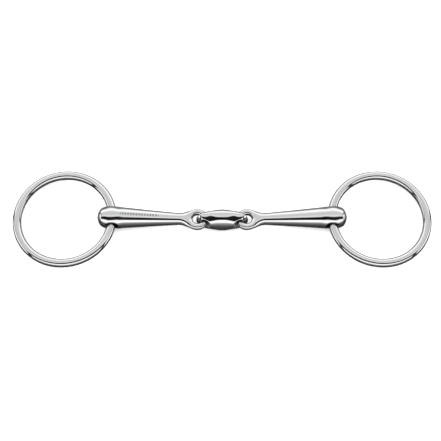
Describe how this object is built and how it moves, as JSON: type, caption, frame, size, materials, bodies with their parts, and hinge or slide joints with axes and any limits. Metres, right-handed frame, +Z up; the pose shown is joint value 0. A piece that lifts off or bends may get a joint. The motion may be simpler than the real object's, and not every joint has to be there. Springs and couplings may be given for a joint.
{
  "type": "double-jointed loose-ring snaffle bit",
  "caption": "Double-jointed loose-ring snaffle bit: tapered arms joined by a lozenge link, with a round ring loose in each end.",
  "frame": {"origin": "centre of the overall footprint, on the surface that the bit lies on", "axes": "+X along the straight mouthpiece towards the right ring, +Y away from the front, +Z up"},
  "size_m": [0.2594, 0.0648, 0.0142],
  "materials": {
    "centre_link": "mirror-polished stainless steel",
    "left_arm": "mirror-polished stainless steel",
    "right_arm": "mirror-polished stainless steel",
    "left_ring": "mirror-polished stainless steel",
    "right_ring": "mirror-polished stainless steel"
  },
  "bodies": {
    "centre_link": {"centre_link": "centre_link"},
    "left_arm": {"left_arm": "left_arm"},
    "right_arm": {"right_arm": "right_arm"},
    "left_ring": {"left_ring": "left_ring"},
    "right_ring": {"right_ring": "right_ring"}
  },
  "joints": [
    {"name": "left_arm_swing", "type": "hinge", "parent": "centre_link", "child": "left_arm", "pos_m": [-0.0153, -0.00138, 0.0071], "axis": [0, 0, 1], "range_deg": [-60, 60]},
    {"name": "right_arm_swing", "type": "hinge", "parent": "centre_link", "child": "right_arm", "pos_m": [0.0153, -0.00138, 0.0071], "axis": [0, 0, -1], "range_deg": [-60, 60]},
    {"name": "left_ring_swing", "type": "hinge", "parent": "left_arm", "child": "left_ring", "pos_m": [-0.068, 0, 0.0071], "axis": [0, 1, 0], "range_deg": [-120, 120]},
    {"name": "right_ring_swing", "type": "hinge", "parent": "right_arm", "child": "right_ring", "pos_m": [0.068, 0, 0.0071], "axis": [0, -1, 0], "range_deg": [-120, 120]}
  ]
}
